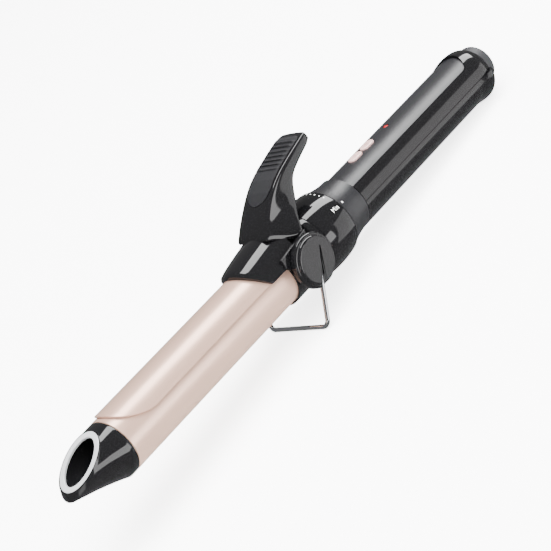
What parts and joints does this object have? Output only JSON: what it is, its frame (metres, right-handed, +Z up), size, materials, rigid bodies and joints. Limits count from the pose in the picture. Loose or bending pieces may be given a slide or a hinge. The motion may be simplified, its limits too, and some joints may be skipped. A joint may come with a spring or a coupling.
{
  "type": "curling iron",
  "caption": "Hair curling iron: coated barrel with sprung clamp, scooped cool tip, wire stand, temperature dial and push buttons.",
  "frame": {"origin": "on the surface that the iron rests on, under the middle of its bounding box", "axes": "+X from the cool tip towards the handle, +Z up, -Y is the side that the dial's pointer faces"},
  "size_m": [0.3068, 0.0392, 0.0635],
  "materials": {
    "gloss_black": "polished black moulding",
    "satin_black": "fine satin black moulding",
    "matte_grey": "matte dark grey moulding",
    "grip_rubber": "matte dark grey ribbed grip",
    "rose_coating": "pearly rose-champagne ceramic coating on aluminium",
    "silver_trim": "satin bright trim",
    "chrome_wire": "bright plated wire",
    "plain_steel": "plain machined steel",
    "white_ceramic": "unglazed white heater ceramic",
    "board_green": "green solder mask on glass laminate",
    "button_rose": "pale rose semi-gloss moulding",
    "lens_red": "clear red light guide"
  },
  "bodies": {
    "base": {"barrel_tube": "rose_coating", "ceramic_heater": "white_ceramic", "thermal_fuse": "plain_steel", "cool_tip": "gloss_black", "tip_rim": "silver_trim", "front_collar": "gloss_black", "side_ear_left": "gloss_black", "side_ear_right": "gloss_black", "hinge_pin_left": "plain_steel", "hinge_pin_right": "plain_steel", "clamp_spring": "plain_steel", "neck_housing": "satin_black", "dial_sensor": "matte_grey", "handle_upper_shell": "gloss_black", "handle_lower_shell": "gloss_black", "control_panel": "satin_black", "circuit_board": "board_green", "handle_screw_1": "plain_steel", "handle_screw_2": "plain_steel", "on_switch": "matte_grey", "off_switch": "matte_grey", "indicator_lens": "lens_red"},
    "clamp": {"clip_plate": "rose_coating", "clamp_lever": "gloss_black", "lever_pad": "grip_rubber", "clip_rivet_1": "plain_steel", "clip_rivet_2": "plain_steel"},
    "stand": {"stand_wire": "chrome_wire"},
    "dial": {"temperature_dial": "gloss_black"},
    "power_on": {"on_button": "button_rose"},
    "power_off": {"off_button": "button_rose"},
    "cord_swivel": {"swivel_gland": "matte_grey"}
  },
  "joints": [
    {"name": "clamp_hinge", "type": "hinge", "parent": "base", "child": "clamp", "pos_m": [-0.00704, 0, 0.02802], "axis": [0, 1, 0], "range_deg": [0, 13], "stiffness_Nm_per_rad": 0.3, "springref_deg": -28.65, "deforming": ["clamp_spring"]},
    {"name": "stand_fold", "type": "hinge", "parent": "base", "child": "stand", "pos_m": [-0.00069, 0, 0.02975], "axis": [0, -1, 0], "range_deg": [0, 70]},
    {"name": "dial_turn", "type": "hinge", "parent": "base", "child": "dial", "pos_m": [0.007, 0, 0.02396], "axis": [0.9972, 0, -0.0744], "range_deg": [0, 270]},
    {"name": "on_press", "type": "slide", "parent": "base", "child": "power_on", "axis": [-0.0744, 0, -0.9972], "range_m": [0, 0.0006], "stiffness_N_per_m": 600, "springref_m": -0.001},
    {"name": "off_press", "type": "slide", "parent": "base", "child": "power_off", "axis": [-0.0744, 0, -0.9972], "range_m": [0, 0.0006], "stiffness_N_per_m": 600, "springref_m": -0.001},
    {"name": "swivel_turn", "type": "hinge", "parent": "base", "child": "cord_swivel", "pos_m": [0.14701, 0, 0.01351], "axis": [0.9972, 0, -0.0744], "continuous": true}
  ]
}
